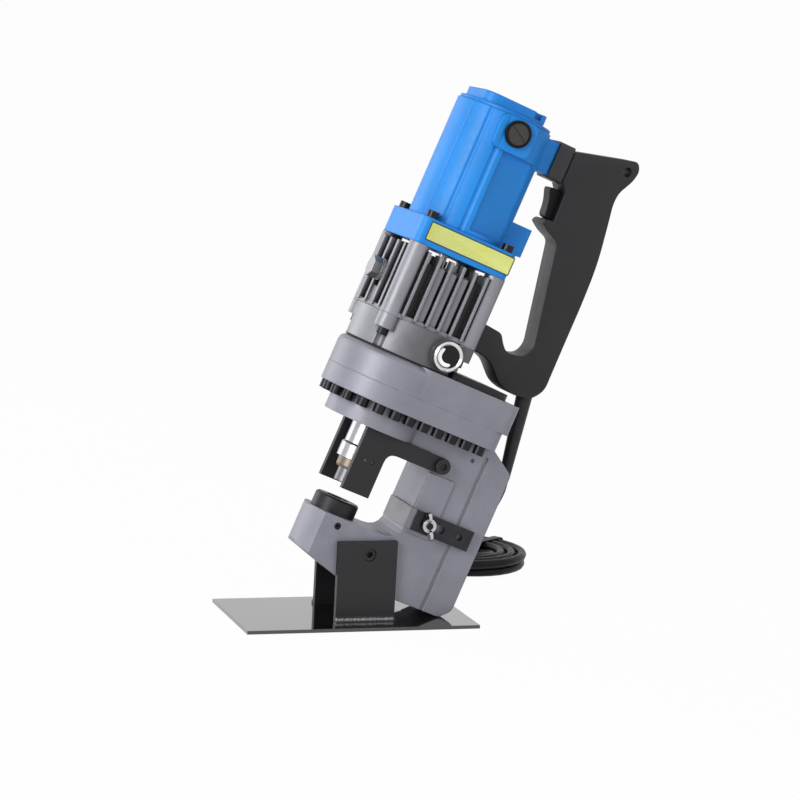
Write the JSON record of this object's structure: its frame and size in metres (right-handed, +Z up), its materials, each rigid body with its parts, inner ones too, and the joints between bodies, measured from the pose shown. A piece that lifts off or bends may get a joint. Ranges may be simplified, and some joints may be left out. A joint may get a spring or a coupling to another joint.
{
  "type": "hydraulic hole punch",
  "caption": "Portable electric hydraulic hole punch: motor, plunger pump and handle above a cast C-frame with punch, die and stripper, leaning on a plate stand.",
  "frame": {"origin": "centre of the base plate's underside", "axes": "+Z up, +X towards the handle, +Y to the side away from the sight glass"},
  "size_m": [0.3412, 0.317, 0.4528],
  "materials": {
    "cast_grey": "painted grey casting",
    "pump_grey": "painted grey die casting",
    "motor_blue": "blue enamel",
    "black_paint": "gloss black paint",
    "black_oxide": "black oxide",
    "chrome": "bright chrome",
    "steel": "ground steel",
    "zinc": "bright zinc",
    "brass": "brass",
    "copper": "copper winding",
    "carbon": "pressed carbon",
    "rubber": "black rubber",
    "black_plastic": "moulded black plastic",
    "glass": "oil sight glass"
  },
  "bodies": {
    "machine": {"c_frame": "cast_grey", "cover_flange": "cast_grey", "skirt": "pump_grey", "pump_housing": "pump_grey", "motor_base": "motor_blue", "motor_housing": "motor_blue", "end_cap": "motor_blue", "base_plate": "black_paint", "near_upright": "black_paint", "far_upright": "black_paint", "stripper": "black_paint", "rear_plate": "black_paint", "stand_bolts": "black_oxide", "flange_screws": "black_oxide", "die": "black_oxide", "die_set_screw": "black_oxide", "stripper_bolts": "black_oxide", "skirt_screws": "black_oxide", "motor_bolts": "black_oxide", "handle_screws": "black_oxide", "sight_ring": "chrome", "return_spring": "steel", "pump_block": "steel", "plunger": "steel", "shaft_bearings": "steel", "brush_springs": "steel", "motor_bearings": "steel", "stator": "steel", "oil_plug": "zinc", "plug_washer": "zinc", "bearing_plate": "zinc", "brush_holders": "brass", "field_coils": "copper", "carbon_brushes": "carbon", "wiper_seal": "rubber", "cover_gasket": "rubber", "cord_boot": "rubber", "cord": "rubber", "cord_coil": "rubber", "cord_tie": "rubber", "cord_plug": "rubber", "brush_caps": "black_plastic", "handle_collar": "black_plastic", "handle_near": "black_plastic", "handle_far": "black_plastic", "switch_body": "black_plastic", "sight_lens": "glass"},
    "ram": {"ram": "chrome", "piston_seal": "rubber", "punch_nut": "brass", "punch": "black_oxide"},
    "gauge": {"gauge_bar": "black_oxide"},
    "gauge_screw": {"gauge_screw": "chrome"},
    "trigger": {"trigger": "black_plastic"},
    "armature": {"armature": "copper", "armature_shaft": "steel", "commutator": "copper", "fan": "black_plastic"},
    "eccentric": {"eccentric_shaft": "steel", "drive_gear": "steel"}
  },
  "joints": [
    {"name": "ram_slide", "type": "slide", "parent": "machine", "child": "ram", "axis": [-0.3697, 0, -0.9291], "range_m": [0, 0.02], "stiffness_N_per_m": 1500, "springref_m": -0.02, "deforming": ["return_spring"]},
    {"name": "gauge_slide", "type": "slide", "parent": "machine", "child": "gauge", "axis": [-0.9291, 0, 0.3697], "range_m": [0, 0.014]},
    {"name": "gauge_screw_turn", "type": "hinge", "parent": "machine", "child": "gauge_screw", "pos_m": [0.05798, 0, 0.08534], "axis": [0, -1, 0], "range_deg": [0, 180]},
    {"name": "trigger_press", "type": "slide", "parent": "machine", "child": "trigger", "axis": [0.9291, 0, -0.3697], "range_m": [0, 0.005], "stiffness_N_per_m": 900, "springref_m": -0.003},
    {"name": "armature_spin", "type": "hinge", "parent": "machine", "child": "armature", "pos_m": [0.09942, 0, 0.38151], "axis": [0.3697, 0, 0.9291], "continuous": true},
    {"name": "eccentric_spin", "type": "hinge", "parent": "machine", "child": "eccentric", "pos_m": [0.08001, 0, 0.2816], "axis": [0.3697, 0, 0.9291], "continuous": true}
  ],
  "couplings": [
    {"joint": "eccentric_spin", "follows": "armature_spin", "ratio": -0.35484}
  ]
}
